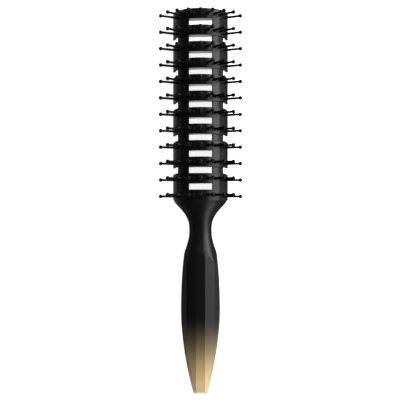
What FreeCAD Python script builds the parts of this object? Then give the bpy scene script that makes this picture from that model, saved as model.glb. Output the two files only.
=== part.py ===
"""Tunnel vent brush for hair, lying on its back with its pins up.

The long axis is Y, with the tip of the head at +Y and the end of the handle at -Y.
X runs across the brush and Z is up. The origin is under the middle of the brush, on the
surface that it lies on. Distances along the brush are measured from the tip of the head.
"""
import FreeCAD, Part
import math
import os

os.makedirs("parts", exist_ok=True)

# Head: raised bands of thin wall over two rails, open underneath
head_radius = 16.1
band_wall = 1.5
band_rise = 0.6
band_count = 6
tip_margin = 3.2
tip_round = 1.0
side_lean = 1.0

# Rows of pins, two in each band, with a window across the middle between rows
row_pitch = 9.4
rung_height = 5.9
rung_depth = 6.6
window_width = 13.0

# Rails that join the bands, with a notch outside each of them
notch_depth = 3.0
rail_thickness = 2.0
rail_round = 0.6

# Pins, set radially in blind sockets
pins_per_row = 9
pin_spacing_deg = 15.0
outer_pin_drop = 1.0
pin_stand = 10.25
pin_sides = 5
pin_root_diameter = 1.4
pin_neck_diameter = 1.15
ball_diameter = 2.3
socket_depth = 3.6
socket_clearance = 0.05

# Thickened arch behind each row, deep enough for its sockets
socket_floor = 0.8
socket_arch_width = 4.2
socket_arch_margin_deg = 6.0

# Shoulder and neck
shoulder_length = 17.05
shoulder_pocket_depth = 7.0
shoulder_wall = 1.8
shoulder_side_step = 0.1
shoulder_edge_height = 1.0
shoulder_edge_fullness = 0.9
neck_diameter = 13.0
neck_length = 1.4
flare_length = 22.35

# Handle: flat facets along its length, with the sides tapered to a narrow end.
# The tapered sides and the end lean inwards above and below the middle of its depth.
handle_width = 22.4
handle_depth = 19.0
front_facet_share = 0.232
facet_edge_share = 0.723
facet_edge_depth_share = 0.732
facet_corner_share = 1.16
flare_width_share = 0.928
swell_length = 22.6
belly_length = 6.9
taper_length = 41.75
taper_bulge = 1.05
taper_lean_deg = 10.5
end_width = 8.1
end_lean_deg = 18.5
end_corner_radius = 0.9

# Values that follow from the ones above
row_count = 2 * band_count
inner_radius = head_radius - band_wall
base_radius = head_radius - band_rise
rung_back_height = head_radius - rung_depth
rail_reach = head_radius - notch_depth
head_length = tip_margin + (row_count - 1) * row_pitch + rung_height / 2
socket_bottom = head_radius - socket_depth
arch_radius = socket_bottom - socket_floor
arch_reach_deg = (pins_per_row - 1) / 2 * pin_spacing_deg + socket_arch_margin_deg
neck_distance = head_length + shoulder_length
flare_distance = neck_distance + neck_length + flare_length
widest_distance = flare_distance + swell_length
taper_distance = widest_distance + belly_length
overall_length = taper_distance + taper_length
handle_middle = handle_depth / 2
kink_half_width = 0.993 * handle_width / 2
round_pull = 4 * (math.sqrt(2) - 1) / 3
overlap = 0.4
clear_of_part = 5.0


def along(distance):
    """Y of a place that lies this far from the tip of the head."""
    return overall_length / 2 - distance


def at(x, distance, z):
    return FreeCAD.Vector(x, along(distance), z)


def extrude_along(face, start, end):
    """A face drawn across the brush at start, drawn out towards the handle to end."""
    return face.extrude(FreeCAD.Vector(0, start - end, 0))


def arc_through(first, middle, last):
    return Part.Arc(first, middle, last).toShape()


def line(first, last):
    return Part.makeLine(first, last)


def face_of(edges):
    return Part.Face(Part.Wire(Part.__sortEdges__(edges)))


def block(half_width, start, end, low, high):
    size = (2 * half_width, end - start, high - low)
    return Part.makeBox(*size, at(-half_width, end, low))


def half_ring(outer, inner, start, end, reach_deg=90.0):
    """Part of a tube over the middle of the brush, as far as reach_deg on each side."""
    def place(radius, angle_deg):
        angle = math.radians(angle_deg)
        return at(radius * math.sin(angle), start, radius * math.cos(angle))

    edges = [
        arc_through(place(outer, -reach_deg), place(outer, 0), place(outer, reach_deg)),
        line(place(outer, reach_deg), place(inner, reach_deg)),
        arc_through(place(inner, reach_deg), place(inner, 0), place(inner, -reach_deg)),
        line(place(inner, -reach_deg), place(outer, -reach_deg)),
    ]
    return extrude_along(face_of(edges), start, end)


def row_distance(row):
    return tip_margin + row * row_pitch


def band_outline(start, end, is_tip):
    """One band seen from above: its ends lean towards the handle outside the rails."""
    side = head_radius + overlap
    lean = 0.0 if is_tip else side_lean
    low = -clear_of_part
    edges = [
        line(at(-rail_reach, start, low), at(rail_reach, start, low)),
        line(at(-rail_reach, end, low), at(rail_reach, end, low)),
    ]
    for sign in (1, -1):
        inner_start = at(sign * rail_reach, start, low)
        outer_start = at(sign * side, start + lean, low)
        outer_end = at(sign * side, end + side_lean / 2, low)
        bend = at(sign * (rail_reach + side) / 2, start + 0.3 * lean, low)
        if is_tip:
            edges.append(line(inner_start, outer_start))
        else:
            edges.append(arc_through(inner_start, bend, outer_start))
        edges.append(line(outer_start, outer_end))
        edges.append(line(outer_end, at(sign * rail_reach, end, low)))
    return face_of(edges).extrude(FreeCAD.Vector(0, 0, head_radius + 2 * clear_of_part))


def is_rim(edge, distance):
    """Whether an edge is the outer round one in the plane at this distance."""
    curve = edge.Curve
    is_round = isinstance(curve, Part.Circle) and abs(curve.Radius - head_radius) < 1e-6
    return is_round and abs(edge.CenterOfMass.y - along(distance)) < 1e-6


def band_wall_solid(start, end, is_tip):
    """The thin wall of one band, with a rounded rim at the tip of the head."""
    wall = half_ring(head_radius, inner_radius, start, end + side_lean / 2)
    if is_tip:
        rim = [e for e in wall.Edges if is_rim(e, start)]
        wall = wall.makeFillet(min(tip_round, 0.7 * band_wall), rim)
    return wall.common(band_outline(start, end, is_tip))


def rung(row):
    """The bar behind one row, which fills the arch down to a flat back."""
    middle = row_distance(row)
    start = 0.0 if row == 0 else middle - rung_height / 2
    end = middle + rung_height / 2
    radius = inner_radius + overlap
    half = math.sqrt(radius ** 2 - rung_back_height ** 2)
    left, right = at(-half, start, rung_back_height), at(half, start, rung_back_height)
    return extrude_along(face_of([arc_through(left, at(0, start, radius), right), line(right, left)]), start, end)


def socket_arch(row):
    """The thicker arch behind one row, deep enough to hold every pin of it."""
    start = row_distance(row) - socket_arch_width / 2 + outer_pin_drop / 2
    end = start + socket_arch_width
    return half_ring(inner_radius + overlap, arch_radius, start, end, arch_reach_deg)


def band(number):
    """One band: its wall, two rungs with their arches, and the window between them."""
    rows = (2 * number, 2 * number + 1)
    is_tip = number == 0
    start = 0.0 if is_tip else row_distance(rows[0]) - rung_height / 2
    end = row_distance(rows[1]) + rung_height / 2
    solids = [rung(row) for row in rows] + [socket_arch(row) for row in rows]
    whole = band_wall_solid(start, end, is_tip).fuse(solids)
    window_start = row_distance(rows[0]) + rung_height / 2
    window_end = row_distance(rows[1]) - rung_height / 2
    window = block(window_width / 2, window_start, window_end, 0, head_radius + clear_of_part)
    return whole.cut(window)


def is_rail_corner(edge, reach):
    """Whether an edge runs along the rail where its outer face meets a side."""
    height = math.sqrt(base_radius ** 2 - reach ** 2)
    middle = edge.CenterOfMass
    return abs(abs(middle.x) - reach) < 1e-4 and abs(middle.z - height) < 1e-4


def rail(side):
    """One rail under the bands, rounded on its two outer edges."""
    near, far = window_width / 2, rail_reach
    start, end = 2 * tip_round, head_length
    arch = half_ring(base_radius, base_radius - rail_thickness, start, end)
    low_x = near if side > 0 else -far
    strip = Part.makeBox(far - near, end - start, base_radius, at(low_x, end, 0))
    bar = arch.common(strip)
    corners = [e for e in bar.Edges if is_rail_corner(e, near) or is_rail_corner(e, far)]
    return bar.makeFillet(min(rail_round, 0.4 * rail_thickness), corners)


def polygon_solid(levels):
    """A straight piece of polygon section, from its radius at each height."""
    step = 2 * math.pi / pin_sides

    def ring(height, radius):
        corners = [(n + 0.5) * step for n in range(pin_sides)]
        return [FreeCAD.Vector(radius * math.cos(a), radius * math.sin(a), height) for a in corners]

    rings = [ring(height, radius) for height, radius in levels]
    faces = [Part.Face(Part.makePolygon(rings[0] + rings[0][:1]))]
    for lower, upper in zip(rings, rings[1:]):
        for n in range(pin_sides):
            m = (n + 1) % pin_sides
            corners = [lower[n], lower[m], upper[m], upper[n], lower[n]]
            faces.append(Part.Face(Part.makePolygon(corners)))
    faces.append(Part.Face(Part.makePolygon(rings[-1] + rings[-1][:1])))
    solid = Part.Solid(Part.Shell(faces))
    if solid.Volume < 0:
        solid.reverse()
    return solid


def pin_solid():
    """One pin standing over the origin: a tapered shank under a small ball."""
    ball = ball_diameter / 2
    neck = pin_neck_diameter / 2
    root = pin_root_diameter / 2
    centre = head_radius + pin_stand
    return polygon_solid([
        (socket_bottom, root),
        (centre - 0.85 * ball, neck),
        (centre, ball),
        (centre + ball, 0.4 * ball),
    ])


def socket_solid():
    """The space that one pin takes in the head, with its clearance."""
    radius = pin_root_diameter / 2 + socket_clearance
    return polygon_solid([(socket_bottom, radius), (head_radius + clear_of_part, radius)])


def pin_places(row):
    """The angle and the distance of each pin of a row."""
    reach = (pins_per_row - 1) / 2
    for n in range(pins_per_row):
        is_outer = n in (0, pins_per_row - 1)
        drop = outer_pin_drop if is_outer else 0.0
        yield (n - reach) * pin_spacing_deg, row_distance(row) + drop


def set_radially(solid, angle_deg, distance):
    placed = solid.copy()
    placed.rotate(FreeCAD.Vector(0, 0, 0), FreeCAD.Vector(0, 1, 0), angle_deg)
    placed.translate(at(0, distance, 0))
    return placed


def oval(distance, half_width, top, widest, bottom, fullness):
    """A closed section from four curves, round above and as full as asked below."""
    quarters = [(1, top, round_pull), (-1, top, round_pull), (-1, bottom, fullness), (1, bottom, fullness)]
    edges = []
    for sign, extreme, pull in quarters:
        poles = [
            at(sign * half_width, distance, widest),
            at(sign * half_width, distance, widest + pull * (extreme - widest)),
            at(sign * half_width * pull, distance, extreme),
            at(0, distance, extreme),
        ]
        if sign * (extreme - widest) < 0:
            poles.reverse()
        curve = Part.BezierCurve()
        curve.setPoles(poles)
        edges.append(curve.toShape())
    return Part.Wire(edges)


def shoulder_sections():
    """Sections that fall from the half round head to the round neck."""
    neck = neck_diameter / 2
    side = head_radius - shoulder_side_step
    falls = (
        (0.0, 0.0),
        (0.066, 0.079),
        (0.162, 0.2),
        (0.259, 0.383),
        (0.362, 0.554),
        (0.459, 0.696),
        (0.556, 0.808),
        (0.658, 0.897),
        (0.852, 0.988),
    )
    for way, fall in falls:
        ahead = overlap if fall == 0.0 else 0.0
        yield oval(
            head_length - ahead + way * shoulder_length,
            side + fall * (neck - side),
            base_radius + fall * (handle_middle + neck - base_radius),
            shoulder_edge_height + fall * (handle_middle - shoulder_edge_height),
            fall ** 2 * (handle_middle - neck),
            shoulder_edge_fullness + fall * (round_pull - shoulder_edge_fullness),
        )


def neck_sections():
    """Round sections along the neck, which swell in an S curve until the facets cut them."""
    neck = neck_diameter / 2
    widest = math.hypot(handle_width / 2, 0.4 * handle_middle)
    start = neck_distance + neck_length
    swell = (
        (0.0, 0.0),
        (0.069, 0.011),
        (0.188, 0.094),
        (0.302, 0.221),
        (0.459, 0.432),
        (0.6, 0.585),
        (0.767, 0.745),
        (1.0, 1.0),
    )
    stations = [(neck_distance, neck)]
    for way, growth in swell:
        stations.append((start + way * flare_length, neck + growth * (widest - neck)))
    for distance, radius in stations:
        top, bottom = handle_middle + radius, handle_middle - radius
        yield oval(distance, radius, top, handle_middle, bottom, round_pull)


def neck_form():
    """The shoulder, the round neck and its flare, as one smooth form."""
    return Part.makeLoft(list(shoulder_sections()) + list(neck_sections()), True, False)


def facet_prism(start, end):
    """The faceted bar that the handle is cut from."""
    quarter = [
        (front_facet_share * handle_width / 2, handle_middle),
        (facet_edge_share * handle_width / 2, facet_edge_depth_share * handle_middle),
        (facet_corner_share * handle_width / 2, 0.0),
    ]
    right = quarter + [(x, -z) for x, z in reversed(quarter[:2])]
    left = [(-x, z) for x, z in reversed(right)]
    corners = [at(x, start, handle_middle + z) for x, z in right + left]
    return extrude_along(Part.Face(Part.makePolygon(corners + corners[:1])), start, end)


def plan_cut(start, end):
    """The outline of the handle seen from above, before its sides are tapered."""
    low = -clear_of_part
    waist = neck_diameter / 2 + clear_of_part / 3
    flare = flare_width_share * handle_width / 2
    edges = [
        line(at(-waist, start, low), at(waist, start, low)),
        line(at(-kink_half_width, end, low), at(kink_half_width, end, low)),
    ]
    for sign in (1, -1):
        kink = at(sign * kink_half_width, taper_distance, low)
        side = Part.BSplineCurve()
        side.interpolate([
            at(sign * waist, start, low),
            at(sign * 0.92 * flare, flare_distance - 0.4 * flare_length, low),
            at(sign * flare, flare_distance, low),
            at(sign * handle_width / 2, widest_distance, low),
            kink,
        ])
        edges.append(side.toShape())
        edges.append(line(kink, at(sign * kink_half_width, end, low)))
    return face_of(edges).extrude(FreeCAD.Vector(0, 0, handle_depth + 2 * clear_of_part))


def taper_side(sign, height, inset, end_inset):
    """One side of the taper in one plane: its lead, its curve and its rounded corner."""
    end = overall_length - end_inset
    wide, narrow = kink_half_width - inset, end_width / 2 - inset
    kink, corner = at(sign * wide, taper_distance, height), at(sign * narrow, end, height)
    middle = at(sign * ((wide + narrow) / 2 + taper_bulge), (taper_distance + end) / 2, height)
    curve = Part.Arc(kink, middle, corner)
    outward = curve.tangent(curve.FirstParameter)[0]
    lead = kink - outward * ((taper_distance - flare_distance) / abs(outward.y))
    reach = min(end_corner_radius, narrow / 2)
    angle = curve.LastParameter - curve.FirstParameter
    corner_start = curve.value(curve.LastParameter - angle * reach / taper_length)
    corner_end = corner - FreeCAD.Vector(sign * reach, 0, 0)
    back = curve.tangent(curve.LastParameter)[0] * -1
    across = FreeCAD.Vector(-sign, 0, 0)
    half_angle = back.getAngle(across) / 2
    inward = (back + across).normalize()
    corner_middle = corner + inward * (reach * (1 / math.cos(half_angle) - math.tan(half_angle)))
    edges = [
        line(lead, kink),
        arc_through(kink, middle, corner_start),
        arc_through(corner_start, corner_middle, corner_end),
    ]
    return edges, lead, corner_end


def taper_outline(height, inset, end_inset):
    """The tapered end of the handle in one plane, started wide of its sides."""
    right, right_lead, right_end = taper_side(1, height, inset, end_inset)
    left, left_lead, left_end = taper_side(-1, height, inset, end_inset)
    closing = [line(right_end, left_end), line(left_lead, right_lead)]
    return Part.Wire(Part.__sortEdges__(right + left + closing))


def taper_cut():
    """What the leaning sides and end leave of the handle, widest half way up."""
    rise = handle_middle + overlap
    inset = rise * math.tan(math.radians(taper_lean_deg))
    end_inset = rise * math.tan(math.radians(end_lean_deg))
    middle = taper_outline(handle_middle, 0.0, 0.0)
    halves = []
    for turn in (1, -1):
        far = taper_outline(handle_middle + turn * rise, inset, end_inset)
        halves.append(Part.makeLoft([middle, far], True, True))
    return halves[0].fuse(halves[1])


def handle_and_neck():
    """The faceted handle, and the round neck and shoulder that it runs into."""
    beyond = 2 * handle_width
    form = neck_form()
    limits = (neck_distance, overall_length + clear_of_part)
    rest_of_bar = block(beyond, flare_distance - overlap, limits[1], -beyond, beyond)
    before_taper = block(beyond, 0, flare_distance + clear_of_part, -clear_of_part, handle_depth + clear_of_part)
    bar = facet_prism(*limits).common(plan_cut(*limits)).common(taper_cut().fuse(before_taper))
    ahead = form.common(block(beyond, 0, neck_distance, 0, beyond))
    return bar.common(form.fuse(rest_of_bar)).fuse(ahead)


def shoulder_pocket():
    """The hollow of the head, run out into the underside of the shoulder."""
    radius = inner_radius - shoulder_wall
    far_end = head_length + shoulder_pocket_depth
    ball = Part.makeSphere(radius, at(0, far_end - radius, 0), FreeCAD.Vector(0, 0, 1), -90, 90, 360)
    return ball.common(block(radius, head_length - 2 * overlap, far_end, 0, rung_back_height))


def frame():
    """Handle, neck and head, moulded in one."""
    pieces = [band(number) for number in range(band_count)] + [rail(1), rail(-1)]
    whole = handle_and_neck().fuse(pieces).cut(shoulder_pocket()).removeSplitter()
    socket = socket_solid()
    sockets = [
        set_radially(socket, angle, distance)
        for row in range(row_count)
        for angle, distance in pin_places(row)
    ]
    return whole.cut(sockets)


def pin_row(row):
    """The separate pins of one row."""
    pin = pin_solid()
    return Part.makeCompound([set_radially(pin, angle, distance) for angle, distance in pin_places(row)])


def save(shape, node):
    shape.exportStep("parts/" + node + ".step")


save(frame(), "frame")
for row in range(row_count):
    save(pin_row(row), "pin_row_%02d" % (row + 1))
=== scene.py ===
"""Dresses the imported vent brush: moulded frame, ball-tipped pins, and the stage it is seen on."""
import math

import bmesh
import bpy
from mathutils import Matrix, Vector


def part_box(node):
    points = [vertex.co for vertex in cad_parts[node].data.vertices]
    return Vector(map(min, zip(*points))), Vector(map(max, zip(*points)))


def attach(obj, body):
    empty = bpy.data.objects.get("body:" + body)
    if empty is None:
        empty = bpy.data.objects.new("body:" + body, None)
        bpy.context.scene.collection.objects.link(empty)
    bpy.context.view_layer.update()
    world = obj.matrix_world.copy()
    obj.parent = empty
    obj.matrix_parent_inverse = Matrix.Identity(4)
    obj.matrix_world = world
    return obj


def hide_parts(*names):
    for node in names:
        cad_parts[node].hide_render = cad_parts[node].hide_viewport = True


bl_info = {
    "name": "Tunnel vent brush",
    "version": (1, 0, 0),
    "blender": (4, 5, 0),
    "location": "View3D > Sidebar > Brush",
    "description": "Finishes a tunnel vent brush: round pins, soft edges and a lacquered handle",
    "category": "Object",
}

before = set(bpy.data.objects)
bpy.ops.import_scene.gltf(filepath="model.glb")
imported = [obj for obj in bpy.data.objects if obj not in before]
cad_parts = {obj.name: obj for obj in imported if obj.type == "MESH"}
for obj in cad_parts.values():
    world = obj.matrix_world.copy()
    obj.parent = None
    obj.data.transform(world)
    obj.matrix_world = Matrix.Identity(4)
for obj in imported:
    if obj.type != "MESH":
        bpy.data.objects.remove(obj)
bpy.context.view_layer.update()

MM = 0.001
PIN_NODES = sorted(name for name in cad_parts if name.startswith("pin_row"))
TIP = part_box("frame")[1].y
CROWN_RADIUS = 16.1 * MM
# About where the last band of the head ends against the shoulder
HEAD_END = TIP - 109.15 * MM

# The frame's mesh: what counts as one point, as one plane, and as a crease in its shading
SAME_POINT = 0.002 * MM
SAME_PLANE = math.radians(0.4)
CREASE = math.radians(24)
# Edges shorter or flatter than these stay sharp, and so do those within this reach of HEAD_END
SHORT_EDGE = 0.9 * MM
FLAT_EDGE = math.radians(35)
HEAD_END_REACH = 0.9 * MM
# The crown's windows lie within this distance of the middle, and above this height
WINDOW_REACH = 6.8 * MM
WINDOW_FLOOR = 9 * MM
WINDOW_EDGE_SHARE = 0.4

# Soft boxes: name, its direction from straight up towards +X in degrees, its place along the
# brush, its width and height in metres, and its radiance
SIDE_LIGHTS = (
    ("side_box_head", 58, 0.735, (1.53, 0.95), 3.7),
    ("side_strip_head", 68, 0.735, (1.53, 0.46), 4.2),
    ("side_box_foot", 55, -0.75, (1.5, 0.85), 0.92),
    ("side_strip_foot", 53, -0.75, (1.5, 0.46), 1.45),
)
# The same beyond the ends: name, the end, its rise for each metre along, and its radiance
END_LIGHTS = (("foot_box", -1.0, 0.75, 2.45), ("head_box", 1.0, 0.60, 3.2))
END_LIGHT_DISTANCE = 1.4
END_LIGHT_SIZE = (1.4, 0.6)
END_LIGHT_ASIDE = 0.2

PAPER_HALF = 3.0
WORLD_STRENGTH = 0.10
CAMERA_PLACE = (-0.3 * MM, TIP - 109.65 * MM, 494.1 * MM)
CAMERA_LENS = 75.6


def linear(hex_colour):
    """Turns an sRGB hex value into the linear colour that the shader takes."""
    values = []
    for place in (0, 2, 4):
        v = int(hex_colour[place:place + 2], 16) / 255
        values.append(v / 12.92 if v <= 0.04045 else ((v + 0.055) / 1.055) ** 2.4)
    return (*values, 1.0)


def add(tree, kind, settings=None, links=None):
    """Adds a node: settings by name, socket values by (socket,), links as socket: output."""
    node = tree.nodes.new(kind)
    for key, value in (settings or {}).items():
        if isinstance(key, tuple):
            node.inputs[key[0]].default_value = value
        else:
            setattr(node, key, value)
    for key, output in (links or {}).items():
        tree.links.new(output, node.inputs[key])
    return node


def new_material(name):
    """Makes an empty node material, and returns it and its tree."""
    material = bpy.data.materials.new(name)
    material.use_nodes = True
    material.node_tree.nodes.clear()
    return material, material.node_tree


def set_stops(ramp, stops):
    """Sets the stops of a ramp of colours from pairs of place and colour."""
    while len(ramp.elements) < len(stops):
        ramp.elements.new(0.5)
    for element, (place, colour) in zip(ramp.elements, stops):
        element.position = place
        element.color = colour


def lacquered_abs(settings):
    """Injection-moulded ABS, satin black, with a gold pearl lacquer sprayed over the handle's end.

    The black has almost no colour of its own, so it shows as what it reflects: a broad soft
    streak. The lacquer fades in through fine droplets, and its pearl makes it slightly metallic.
    """
    material, tree = new_material("satin_black_abs_gold_lacquer")
    place = add(tree, "ShaderNodeTexCoord")
    split = add(tree, "ShaderNodeSeparateXYZ", None, {"Vector": place.outputs["Object"]})
    # Spray droplets of about 0.25 mm, and a slow drift of the gun over about 12 mm. The scale of
    # a noise, here and below, is one over twice the size of its spots.
    droplets = add(tree, "ShaderNodeTexNoise", {("Scale",): 1 / (0.5 * MM), ("Detail",): 2.0},
                   {"Vector": place.outputs["Object"]})
    drift = add(tree, "ShaderNodeTexNoise", {("Scale",): 1 / (24 * MM), ("Detail",): 1.0},
                {"Vector": place.outputs["Object"]})
    shake = add(tree, "ShaderNodeMath",
                {"operation": "MULTIPLY_ADD", (1,): 1.6 * MM, (2,): -0.8 * MM},
                {0: droplets.outputs["Fac"]})
    sway = add(tree, "ShaderNodeMath", {"operation": "MULTIPLY_ADD", (1,): 3.0 * MM},
               {0: drift.outputs["Fac"], 2: shake.outputs[0]})
    along = add(tree, "ShaderNodeMath", {"operation": "ADD"},
                {0: split.outputs["Y"], 1: sway.outputs[0]})
    fade = add(tree, "ShaderNodeMapRange", {
        ("From Min",): -settings.fade_start, ("From Max",): -settings.fade_end,
    }, {"Value": along.outputs[0]})
    colour = add(tree, "ShaderNodeValToRGB", None, {"Fac": fade.outputs["Result"]})
    set_stops(colour.color_ramp, [
        (0.0, (*settings.body_colour, 1.0)),
        (0.12, linear("25211A")),
        (0.24, linear("423A2C")),
        (0.36, linear("5C5038")),
        (0.50, linear("7B6949")),
        (0.64, linear("9A845F")),
        (0.80, linear("B2976E")),
        (1.0, (*settings.gold_colour, 1.0)),
    ])
    pearl = add(tree, "ShaderNodeMath", {"operation": "MULTIPLY", (1,): 0.05},
                {0: fade.outputs["Result"]})
    # Moulded grain of about 0.3 mm, drawn at 0.6 mm so that it shows
    grain = add(tree, "ShaderNodeTexNoise", {("Scale",): 1 / (1.2 * MM), ("Detail",): 3.0},
                {"Vector": place.outputs["Object"]})
    rough = add(tree, "ShaderNodeMapRange", {("To Min",): 0.27, ("To Max",): 0.36},
                {"Value": grain.outputs["Fac"]})
    relief = add(tree, "ShaderNodeBump", {("Strength",): 0.25, ("Distance",): 0.01 * MM},
                 {"Height": grain.outputs["Fac"]})
    gloss = {("IOR",): 1.45, ("Specular IOR Level",): 0.27}
    shader = add(tree, "ShaderNodeBsdfPrincipled", gloss, {
        "Base Color": colour.outputs["Color"],
        "Metallic": pearl.outputs[0],
        "Roughness": rough.outputs["Result"],
        "Normal": relief.outputs["Normal"],
    })
    add(tree, "ShaderNodeOutputMaterial", None, {"Surface": shader.outputs["BSDF"]})
    return material


def moulded_nylon():
    """Black nylon 6, moulded and tumbled: smoother than the frame, with small sharp highlights."""
    material, tree = new_material("black_nylon_6")
    place = add(tree, "ShaderNodeTexCoord")
    # Flow marks of about 0.5 mm left by moulding thin pins
    flow = add(tree, "ShaderNodeTexNoise", {("Scale",): 1 / (1.0 * MM), ("Detail",): 2.0},
               {"Vector": place.outputs["Object"]})
    colour = add(tree, "ShaderNodeValToRGB", None, {"Fac": flow.outputs["Fac"]})
    set_stops(colour.color_ramp, [(0.3, linear("060607")), (0.7, linear("0B0B0C"))])
    rough = add(tree, "ShaderNodeMapRange", {("To Min",): 0.28, ("To Max",): 0.38},
                {"Value": flow.outputs["Fac"]})
    relief = add(tree, "ShaderNodeBump", {("Strength",): 0.2, ("Distance",): 0.01 * MM},
                 {"Height": flow.outputs["Fac"]})
    gloss = {("IOR",): 1.53, ("Specular IOR Level",): 0.10}
    shader = add(tree, "ShaderNodeBsdfPrincipled", gloss, {
        "Base Color": colour.outputs["Color"],
        "Roughness": rough.outputs["Result"],
        "Normal": relief.outputs["Normal"],
    })
    add(tree, "ShaderNodeOutputMaterial", None, {"Surface": shader.outputs["BSDF"]})
    return material


def paper_floor():
    """Seamless white paper, matt, with glows that paint reflections on the brush.

    To the camera it is lifted to a clean white that still keeps a little shadow. In gloss it is
    darker, a painted dark reflection, and it glows under the open middle, to the right, and a
    little to the left of the head: painted reflections, not lamps.
    """
    material, tree = new_material("white_paper_with_painted_reflections")
    place = add(tree, "ShaderNodeTexCoord")
    fibre = add(tree, "ShaderNodeTexNoise", {("Scale",): 1 / (0.8 * MM), ("Detail",): 3.0},
                {"Vector": place.outputs["Object"]})
    path = add(tree, "ShaderNodeLightPath")
    split = add(tree, "ShaderNodeSeparateXYZ", None, {"Vector": place.outputs["Object"]})
    # The painted glow under the open middle, seen only in gloss: a painted reflection in the walls
    # of the crown's windows
    across = add(tree, "ShaderNodeMath", {"operation": "ABSOLUTE"}, {0: split.outputs["X"]})
    under = add(tree, "ShaderNodeMapRange", {
        ("From Min",): 11 * MM, ("From Max",): 7 * MM, ("To Min",): 0.0, ("To Max",): 1.0,
    }, {"Value": across.outputs[0]})
    # The painted glow to the right, seen only in gloss, a painted reflection down the brush's right
    # side; it comes closer beside the gold end
    closer = add(tree, "ShaderNodeMapRange", {
        ("From Min",): -60 * MM, ("From Max",): -80 * MM, ("To Min",): 0.0, ("To Max",): 13 * MM,
    }, {"Value": split.outputs["Y"]})
    shifted = add(tree, "ShaderNodeMath", {"operation": "ADD"},
                  {0: split.outputs["X"], 1: closer.outputs["Result"]})
    beside = add(tree, "ShaderNodeMapRange", {
        ("From Min",): 21 * MM, ("From Max",): 33 * MM, ("To Min",): 0.0, ("To Max",): 0.55,
    }, {"Value": shifted.outputs[0]})
    # Painted shade in that glow by the shoulder, across Y -5 to -25 mm: it darkens the painted
    # reflection on the shoulder
    from_shade_patch = add(tree, "ShaderNodeMath", {"operation": "ADD", (1,): 15 * MM},
                    {0: split.outputs["Y"]})
    off_shade_patch = add(tree, "ShaderNodeMath", {"operation": "ABSOLUTE"}, {0: from_shade_patch.outputs[0]})
    past_shade_patch = add(tree, "ShaderNodeMapRange", {
        ("From Min",): 10 * MM, ("From Max",): 15 * MM, ("To Min",): 0.2, ("To Max",): 1.0,
    }, {"Value": off_shade_patch.outputs[0]})
    beside_shaded = add(tree, "ShaderNodeMath", {"operation": "MULTIPLY"},
                      {0: beside.outputs["Result"], 1: past_shade_patch.outputs["Result"]})
    # The weak painted glow to the left of the head, a strip along X -23 mm: a painted reflection on
    # the head's left side
    from_strip = add(tree, "ShaderNodeMath", {"operation": "ADD", (1,): 23 * MM},
                     {0: split.outputs["X"]})
    off_strip = add(tree, "ShaderNodeMath", {"operation": "ABSOLUTE"}, {0: from_strip.outputs[0]})
    left = add(tree, "ShaderNodeMapRange", {
        ("From Min",): 9 * MM, ("From Max",): 4 * MM, ("To Min",): 0.0, ("To Max",): 0.33,
    }, {"Value": off_strip.outputs[0]})
    by_head = add(tree, "ShaderNodeMapRange", {("From Min",): -12 * MM, ("From Max",): 0.0},
                  {"Value": split.outputs["Y"]})
    sides = add(tree, "ShaderNodeMath", {"operation": "MULTIPLY_ADD"}, {
        0: left.outputs["Result"], 1: by_head.outputs["Result"], 2: beside_shaded.outputs[0],
    })
    glows = add(tree, "ShaderNodeMath", {"operation": "MULTIPLY_ADD", (1,): 1.2},
                {0: under.outputs["Result"], 2: sides.outputs[0]})
    tone = add(tree, "ShaderNodeMapRange", {("To Min",): 0.90, ("To Max",): 0.94},
               {"Value": fibre.outputs["Fac"]})
    # Painted dark reflection: in gloss the paper's colour is cut to a fifth
    painted_dark_reflection = add(tree, "ShaderNodeMath", {"operation": "MULTIPLY_ADD", (1,): -0.80, (2,): 1.0},
               {0: path.outputs["Is Glossy Ray"]})
    colour = add(tree, "ShaderNodeMath", {"operation": "MULTIPLY"},
                 {0: tone.outputs["Result"], 1: painted_dark_reflection.outputs[0]})
    paper = add(tree, "ShaderNodeBsdfDiffuse", {("Roughness",): 1.0},
                {"Color": colour.outputs[0]})
    seen = add(tree, "ShaderNodeMath", {"operation": "MULTIPLY", (1,): 0.88},
               {0: path.outputs["Is Camera Ray"]})
    # The glows go into gloss only, as painted reflections; the camera sees the paper lifted to
    # white
    lift = add(tree, "ShaderNodeMath", {"operation": "MULTIPLY_ADD"},
               {0: path.outputs["Is Glossy Ray"], 1: glows.outputs[0], 2: seen.outputs[0]})
    glow = add(tree, "ShaderNodeEmission", None, {"Strength": lift.outputs[0]})
    both = add(tree, "ShaderNodeAddShader", None,
               {0: paper.outputs["BSDF"], 1: glow.outputs["Emission"]})
    add(tree, "ShaderNodeOutputMaterial", None, {"Surface": both.outputs["Shader"]})
    return material


class BrushSettings(bpy.types.PropertyGroup):
    """Sizes and colours of the brush that a user would change."""

    edge_round: bpy.props.FloatProperty(
        name="Edge round", description="Radius on the edges of the moulded frame",
        default=0.25 * MM, min=0.0, unit="LENGTH", precision=5)
    ball_diameter: bpy.props.FloatProperty(
        name="Ball", description="Diameter of the ball on each pin",
        default=2.3 * MM, unit="LENGTH", precision=5)
    neck_diameter: bpy.props.FloatProperty(
        name="Pin at its ball", description="Diameter of a pin just under its ball",
        default=1.3 * MM, unit="LENGTH", precision=5)
    root_diameter: bpy.props.FloatProperty(
        name="Pin at its root", description="Diameter of a pin where it leaves the frame",
        default=1.5 * MM, unit="LENGTH", precision=5)
    collar_diameter: bpy.props.FloatProperty(
        name="Collar", description="Diameter of the low round collar at a pin's root",
        default=2.2 * MM, unit="LENGTH", precision=5)
    body_colour: bpy.props.FloatVectorProperty(
        name="Body", description="Colour of the moulded frame", subtype="COLOR",
        size=3, default=linear("0B0B0B")[:3])
    gold_colour: bpy.props.FloatVectorProperty(
        name="Lacquer", description="Colour of the lacquer at the end of the handle",
        subtype="COLOR", size=3, default=linear("C8AE82")[:3])
    fade_start: bpy.props.FloatProperty(
        name="Fade starts", description="How far from the brush's middle the lacquer starts",
        default=65 * MM, unit="LENGTH")
    fade_end: bpy.props.FloatProperty(
        name="Fade ends", description="How far from the brush's middle the lacquer covers fully",
        default=103 * MM, unit="LENGTH")


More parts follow.
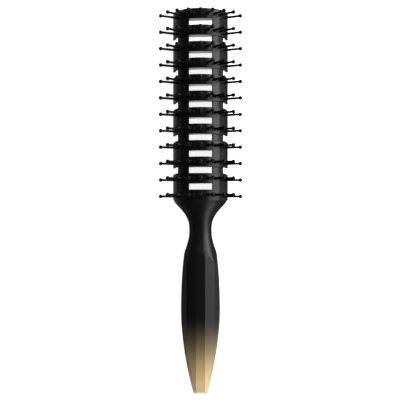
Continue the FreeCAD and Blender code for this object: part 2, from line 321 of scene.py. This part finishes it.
def is_worn_edge(edge):
    """Whether an edge of the frame is a long corner that moulding leaves slightly round.

    The last band's own edge stays sharp, because it meets the shoulder in corners too tight to
    round.
    """
    if len(edge.link_faces) != 2 or edge.calc_length() < SHORT_EDGE:
        return False
    if all(abs(end.co.y - HEAD_END) < HEAD_END_REACH for end in edge.verts):
        return False
    return edge.calc_face_angle(0.0) > FLAT_EDGE


def is_window_edge(edge):
    """Whether an edge lies on the crown's windows, which the mould closes on more sharply."""
    return all(
        abs(end.co.x) < WINDOW_REACH and end.co.z > WINDOW_FLOOR and end.co.y > HEAD_END
        for end in edge.verts)


def add_hem(shell):
    """Adds the hem in which the last band ends over the shoulder: a lip that then slopes down.

    It goes on with the facets of the band's end, thins out down both sides, and is sunk into the
    shoulder. Each ring across it holds four points, given as a distance from the tip and a radius.
    """
    facet = math.radians(6.053)
    last = 10
    sunk_radius = 15.3 * MM
    shares = {last: 0.4, last - 1: 0.75}
    rings = []
    for k in range(-last, last + 1):
        start = 109.68 * MM if abs(k) == last else 109.55 * MM
        share = shares.get(abs(k), 1.0)
        lip, slope = 0.5 * MM * share, 3.0 * MM * share
        profile = (
            (start, CROWN_RADIUS), (start + lip, CROWN_RADIUS),
            (start + lip + slope, sunk_radius), (start, sunk_radius))
        rings.append([
            shell.verts.new(
                (radius * math.sin(k * facet), TIP - along, radius * math.cos(k * facet)))
            for along, radius in profile])
    faces = []
    for one, other in zip(rings, rings[1:]):
        for i in range(4):
            j = (i + 1) % 4
            faces.append(shell.faces.new((one[i], one[j], other[j], other[i])))
    # Both ends run out in a point just under the side of the band
    end_angle, end_radius, end_along = 10.8 * facet, 15.9 * MM, 109.8 * MM
    for ring, side in ((rings[0], -1), (rings[-1], 1)):
        point = shell.verts.new((
            side * end_radius * math.sin(end_angle),
            TIP - end_along,
            end_radius * math.cos(end_angle)))
        for i in range(4):
            faces.append(shell.faces.new((ring[i], ring[(i + 1) % 4], point)))
    bmesh.ops.recalc_face_normals(shell, faces=faces)


def moulded_mesh():
    """A copy of the frame's mesh with merged faces, edges weighted for rounding, and the hem."""
    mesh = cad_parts["frame"].data.copy()
    mesh.name = "moulded_frame"
    # The copy's stored normals no longer fit once its faces are merged and its edges rounded
    if mesh.has_custom_normals:
        mesh.attributes.remove(mesh.attributes["custom_normal"])
    shell = bmesh.new()
    shell.from_mesh(mesh)
    bmesh.ops.remove_doubles(shell, verts=shell.verts, dist=SAME_POINT)
    bmesh.ops.dissolve_limit(
        shell, angle_limit=SAME_PLANE, verts=shell.verts, edges=shell.edges)
    weights = shell.edges.layers.float.new("bevel_weight_edge")
    for edge in shell.edges:
        if is_worn_edge(edge):
            edge[weights] = WINDOW_EDGE_SHARE if is_window_edge(edge) else 1.0
    add_hem(shell)
    shell.to_mesh(mesh)
    shell.free()
    return mesh


def apply_modifiers(context, piece):
    """Turns a piece with its modifiers into a plain mesh, and returns the mesh."""
    graph = context.evaluated_depsgraph_get()
    mesh = bpy.data.meshes.new_from_object(piece.evaluated_get(graph))
    piece.modifiers.clear()
    piece.data = mesh
    return mesh


class BRUSH_OT_frame(bpy.types.Operator):
    """Makes the moulded frame with slightly rounded edges, and gives it its lacquer"""

    bl_idname = "brush.frame"
    bl_label = "Moulded frame"

    def execute(self, context):
        settings = context.scene.brush
        piece = bpy.data.objects.new("moulded_frame", moulded_mesh())
        context.scene.collection.objects.link(piece)
        rounding = piece.modifiers.new("edges", "BEVEL")
        rounding.limit_method = "WEIGHT"
        rounding.width = settings.edge_round
        rounding.segments = 2
        rounding.use_clamp_overlap = False
        mesh = apply_modifiers(context, piece)
        mesh.materials.clear()
        mesh.materials.append(lacquered_abs(settings))
        mesh.shade_smooth()
        mesh.set_sharp_from_angle(angle=CREASE)
        # Large faces lead the shading, so the handle's facets look flat up to their rounded edges
        levelling = piece.modifiers.new("flat_facets", "WEIGHTED_NORMAL")
        levelling.keep_sharp = True
        apply_modifiers(context, piece)
        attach(piece, "root")
        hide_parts("frame")
        return {"FINISHED"}


# The sums of the pins' node tree: each one's name, its operation, and what goes in. They lead from
# a point's index to its row, its column, its angle and its place along the head, and end with the
# measures of one pin.
PIN_SUMS = (
    ("Rows passed", "DIVIDE", "Index", "Pins per row"),
    ("Row", "FLOOR", "Rows passed"),
    ("Pins passed", "MULTIPLY", "Row", "Pins per row"),
    ("Column", "SUBTRACT", "Index", "Pins passed"),
    ("Last column", "SUBTRACT", "Pins per row", 1),
    ("Reach", "DIVIDE", "Last column", 2),
    ("Offset", "SUBTRACT", "Column", "Reach"),
    ("Angle", "MULTIPLY", "Offset", "Spacing"),
    ("Distance", "ABSOLUTE", "Offset"),
    ("Inner reach", "SUBTRACT", "Reach", 0.5),
    ("Is outer", "GREATER_THAN", "Distance", "Inner reach"),
    ("Drop", "MULTIPLY", "Is outer", "Outer drop"),
    ("Rows down", "MULTIPLY", "Row", "Row pitch"),
    ("Down", "ADD", "Rows down", "Drop"),
    ("Along", "SUBTRACT", "First row", "Down"),
    ("Count", "MULTIPLY", "Rows", "Pins per row"),
    ("Ball radius", "DIVIDE", "Ball", 2),
    ("Neck radius", "DIVIDE", "Neck", 2),
    ("Root radius", "DIVIDE", "Root", 2),
    ("Collar radius", "DIVIDE", "Collar", 2),
    ("Length", "SUBTRACT", "Ball centre", "Socket bottom"),
)


def pin_tree(settings, material):
    """A node tree that sets round, ball-tipped pins radially in rows."""
    tree = bpy.data.node_groups.new("pins_in_rows", "GeometryNodeTree")
    sizes = {
        "Rows": ("NodeSocketInt", 12),
        "Pins per row": ("NodeSocketInt", 9),
        "Row pitch": ("NodeSocketFloat", 9.4 * MM),
        "First row": ("NodeSocketFloat", TIP - 3.2 * MM),
        "Spacing": ("NodeSocketFloat", math.radians(15)),
        "Outer drop": ("NodeSocketFloat", 1.0 * MM),
        "Socket bottom": ("NodeSocketFloat", 12.5 * MM),
        "Ball centre": ("NodeSocketFloat", 26.35 * MM),
        "Crown": ("NodeSocketFloat", CROWN_RADIUS),
        "Collar": ("NodeSocketFloat", settings.collar_diameter),
        "Ball": ("NodeSocketFloat", settings.ball_diameter),
        "Neck": ("NodeSocketFloat", settings.neck_diameter),
        "Root": ("NodeSocketFloat", settings.root_diameter),
    }
    tree.interface.new_socket("Geometry", in_out="INPUT", socket_type="NodeSocketGeometry")
    for name, (kind, value) in sizes.items():
        socket = tree.interface.new_socket(name, in_out="INPUT", socket_type=kind)
        socket.default_value = value
    tree.interface.new_socket("Geometry", in_out="OUTPUT", socket_type="NodeSocketGeometry")
    given = add(tree, "NodeGroupInput").outputs
    known = {name: given[name] for name in sizes}
    known["Index"] = add(tree, "GeometryNodeInputIndex").outputs[0]
    for name, operation, *values in PIN_SUMS:
        node = add(tree, "ShaderNodeMath", {"operation": operation})
        for socket, value in zip(node.inputs, values):
            if value in known:
                tree.links.new(known[value], socket)
            else:
                socket.default_value = value
        known[name] = node.outputs[0]

    place = add(tree, "ShaderNodeCombineXYZ", None, {"Y": known["Along"]})
    turn = add(tree, "ShaderNodeCombineXYZ", None, {"Y": known["Angle"]})
    points = add(tree, "GeometryNodeMeshLine", None, {"Count": known["Count"]})
    placed = add(tree, "GeometryNodeSetPosition", None,
                 {"Geometry": points.outputs["Mesh"], "Position": place.outputs[0]})

    ball = add(tree, "GeometryNodeMeshUVSphere", {("Segments",): 14, ("Rings",): 10},
               {"Radius": known["Ball radius"]})
    lift = add(tree, "ShaderNodeCombineXYZ", None, {"Z": known["Ball centre"]})
    ball_up = add(tree, "GeometryNodeTransform", None,
                  {"Geometry": ball.outputs["Mesh"], "Translation": lift.outputs[0]})
    shank = add(tree, "GeometryNodeMeshCone", {("Vertices",): 14, ("Side Segments",): 3}, {
        "Radius Top": known["Neck radius"],
        "Radius Bottom": known["Root radius"],
        "Depth": known["Length"],
    })
    start = add(tree, "ShaderNodeCombineXYZ", None, {"Z": known["Socket bottom"]})
    shank_up = add(tree, "GeometryNodeTransform", None,
                   {"Geometry": shank.outputs["Mesh"], "Translation": start.outputs[0]})
    # The collar is a ball pressed flat, half sunk into the crown
    collar = add(tree, "GeometryNodeMeshUVSphere", {("Segments",): 14, ("Rings",): 8},
                 {"Radius": known["Collar radius"]})
    crown = add(tree, "ShaderNodeCombineXYZ", None, {"Z": known["Crown"]})
    collar_up = add(tree, "GeometryNodeTransform", {("Scale",): (1.0, 1.0, 0.35)},
                    {"Geometry": collar.outputs["Mesh"], "Translation": crown.outputs[0]})
    pin = add(tree, "GeometryNodeJoinGeometry")
    for part in (ball_up, shank_up, collar_up):
        tree.links.new(part.outputs["Geometry"], pin.inputs["Geometry"])
    smooth = add(tree, "GeometryNodeSetShadeSmooth", None, {"Geometry": pin.outputs["Geometry"]})
    rows = add(tree, "GeometryNodeInstanceOnPoints", None, {
        "Points": placed.outputs["Geometry"],
        "Instance": smooth.outputs["Geometry"],
        "Rotation": turn.outputs[0],
    })
    real = add(tree, "GeometryNodeRealizeInstances", None, {"Geometry": rows.outputs["Instances"]})
    painted = add(tree, "GeometryNodeSetMaterial", {("Material",): material},
                  {"Geometry": real.outputs["Geometry"]})
    add(tree, "NodeGroupOutput", None, {"Geometry": painted.outputs["Geometry"]})
    return tree


class BRUSH_OT_pins(bpy.types.Operator):
    """Sets the rows of ball-tipped nylon pins into the frame"""

    bl_idname = "brush.pins"
    bl_label = "Ball-tipped pins"

    def execute(self, context):
        material = moulded_nylon()
        piece = bpy.data.objects.new("pins", bpy.data.meshes.new("pins_seed"))
        context.scene.collection.objects.link(piece)
        rows = piece.modifiers.new("rows", "NODES")
        rows.node_group = pin_tree(context.scene.brush, material)
        for item in rows.node_group.interface.items_tree:
            if item.in_out == "INPUT" and item.name == "Rows":
                rows[item.identifier] = len(PIN_NODES)
        mesh = apply_modifiers(context, piece)
        mesh.name = "pins"
        if not mesh.materials:
            mesh.materials.append(material)
        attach(piece, "root")
        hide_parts(*PIN_NODES)
        return {"FINISHED"}


def add_light(context, name, place, facing, size, radiance):
    """A soft box with its back to a direction. Radiance is what a mirror would show."""
    width, height = size
    data = bpy.data.lights.new(name, "AREA")
    data.shape = "RECTANGLE"
    data.size = width
    data.size_y = height
    data.energy = radiance * math.pi * width * height
    light = bpy.data.objects.new(name, data)
    light.location = place
    light.rotation_mode = "QUATERNION"
    light.rotation_quaternion = facing.to_track_quat("Z", "Y")
    context.scene.collection.objects.link(light)


class BRUSH_OT_stage(bpy.types.Operator):
    """Lays the white paper, and sets the soft boxes, the world and the camera"""

    bl_idname = "brush.stage"
    bl_label = "Stage"

    def execute(self, context):
        scene = context.scene
        mesh = bpy.data.meshes.new("paper")
        corners = [
            (x * PAPER_HALF, y * PAPER_HALF, 0) for x, y in ((-1, -1), (1, -1), (1, 1), (-1, 1))]
        mesh.from_pydata(corners, [], [(0, 1, 2, 3)])
        mesh.materials.append(paper_floor())
        floor = bpy.data.objects.new("paper", mesh)
        scene.collection.objects.link(floor)

        for name, polar_deg, along, size, radiance in SIDE_LIGHTS:
            polar = math.radians(polar_deg)
            facing = Vector((math.sin(polar), 0.0, math.cos(polar)))
            add_light(context, name, facing + Vector((0.0, along, 0.0)), facing, size, radiance)
        for name, end, rise, radiance in END_LIGHTS:
            facing = Vector((END_LIGHT_ASIDE, end, rise)).normalized()
            add_light(
                context, name, facing * END_LIGHT_DISTANCE, facing, END_LIGHT_SIZE, radiance)

        world = bpy.data.worlds.new("studio")
        world.use_nodes = True
        tree = world.node_tree
        tree.nodes.clear()
        path = add(tree, "ShaderNodeLightPath")
        strength = add(tree, "ShaderNodeMapRange", {("To Min",): WORLD_STRENGTH, ("To Max",): 1.0},
                       {"Value": path.outputs["Is Camera Ray"]})
        sky = add(tree, "ShaderNodeBackground", {("Color",): (1.0, 1.0, 1.0, 1.0)},
                  {"Strength": strength.outputs["Result"]})
        add(tree, "ShaderNodeOutputWorld", None, {"Surface": sky.outputs["Background"]})
        scene.world = world
        scene.view_settings.view_transform = "Standard"

        data = bpy.data.cameras.new("camera")
        data.sensor_width = 36.0
        data.lens = CAMERA_LENS
        camera = bpy.data.objects.new("camera", data)
        camera.location = CAMERA_PLACE
        scene.collection.objects.link(camera)
        scene.camera = camera
        return {"FINISHED"}


class BRUSH_PT_panel(bpy.types.Panel):
    """Lists the steps that make the brush"""

    bl_idname = "BRUSH_PT_panel"
    bl_label = "Tunnel vent brush"
    bl_space_type = "VIEW_3D"
    bl_region_type = "UI"
    bl_category = "Brush"

    def draw(self, context):
        settings = context.scene.brush
        for name in BrushSettings.__annotations__:
            self.layout.prop(settings, name)
        for step in STEPS:
            self.layout.operator(step.bl_idname)


STEPS = (BRUSH_OT_frame, BRUSH_OT_pins, BRUSH_OT_stage)
CLASSES = (BrushSettings, *STEPS, BRUSH_PT_panel)


def register():
    for cls in CLASSES:
        bpy.utils.register_class(cls)
    bpy.types.Scene.brush = bpy.props.PointerProperty(type=BrushSettings)


def unregister():
    del bpy.types.Scene.brush
    for cls in reversed(CLASSES):
        bpy.utils.unregister_class(cls)


def main():
    register()
    bpy.ops.brush.frame()
    bpy.ops.brush.pins()
    bpy.ops.brush.stage()


if __name__ == "__main__":
    main()
